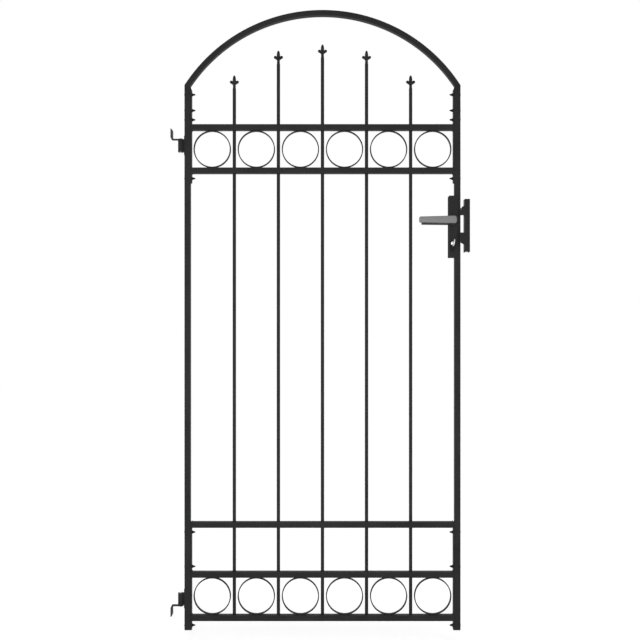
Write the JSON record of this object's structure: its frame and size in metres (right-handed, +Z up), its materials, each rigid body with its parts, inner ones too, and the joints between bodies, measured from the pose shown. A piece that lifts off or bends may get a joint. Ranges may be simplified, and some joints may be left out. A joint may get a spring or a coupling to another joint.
{
  "type": "arched garden gate",
  "caption": "Single-leaf steel garden gate with an arched top, round bars with spearheads, rows of rings, wall hinges, a lever lock and a wall strike.",
  "frame": {"origin": "on the wall side of the lower hinge bracket's flat leg, above its screw hole", "axes": "+X along the gate's width from hinges to lock, +Y to the back, where the leaf opens, +Z up"},
  "size_m": [0.9625, 0.104, 2],
  "materials": {
    "black_paint": "satin powder coat, black",
    "bare_steel": "zinc plated",
    "grey_alloy": "satin",
    "nickel": "satin nickel",
    "black_plastic": "moulded, matt"
  },
  "bodies": {
    "wall_side": {"lower_hinge_arm": "black_paint", "lower_hinge_pin": "bare_steel", "upper_hinge_arm": "black_paint", "upper_hinge_pin": "bare_steel", "strike": "black_paint"},
    "leaf": {"hinge_stile": "black_paint", "lock_stile": "black_paint", "arch_tube": "black_paint", "hinge_stile_cap": "black_plastic", "lock_stile_cap": "black_plastic", "bottom_rail": "black_paint", "fourth_rail": "black_paint", "third_rail": "black_paint", "second_rail": "black_paint", "top_rail": "black_paint", "lower_hinge_strip": "black_paint", "lower_lock_strip": "black_paint", "upper_hinge_strip": "black_paint", "upper_lock_strip": "black_paint", "bar_1": "black_paint", "bar_2": "black_paint", "bar_3": "black_paint", "bar_4": "black_paint", "bar_5": "black_paint", "spearhead_1": "black_paint", "spearhead_2": "black_paint", "spearhead_3": "black_paint", "spearhead_4": "black_paint", "spearhead_5": "black_paint", "lower_rings": "black_paint", "upper_rings": "black_paint", "lower_knuckle": "black_paint", "upper_knuckle": "black_paint", "lock_case": "black_paint", "front_lock_plate": "black_paint", "back_lock_plate": "black_paint", "latch_bolt": "bare_steel", "dead_bolt": "bare_steel", "lock_cylinder": "black_paint"},
    "lever": {"front_lever": "grey_alloy", "back_lever": "grey_alloy", "lever_spindle": "bare_steel"},
    "key_and_plug": {"cylinder_plug": "nickel", "key": "nickel"}
  },
  "joints": [
    {"name": "leaf_swing", "type": "hinge", "parent": "wall_side", "child": "leaf", "pos_m": [0.0305, 0, 0.034], "axis": [0, 0, 1], "range_deg": [0, 100]},
    {"name": "lever_turn", "type": "hinge", "parent": "leaf", "child": "lever", "pos_m": [0.9075, 0, 1.252], "axis": [0, -1, 0], "range_deg": [0, 40], "stiffness_Nm_per_rad": 0.9, "springref_deg": -28.65},
    {"name": "key_turn", "type": "hinge", "parent": "leaf", "child": "key_and_plug", "pos_m": [0.9075, 0, 1.181], "axis": [0, -1, 0], "continuous": true}
  ]
}
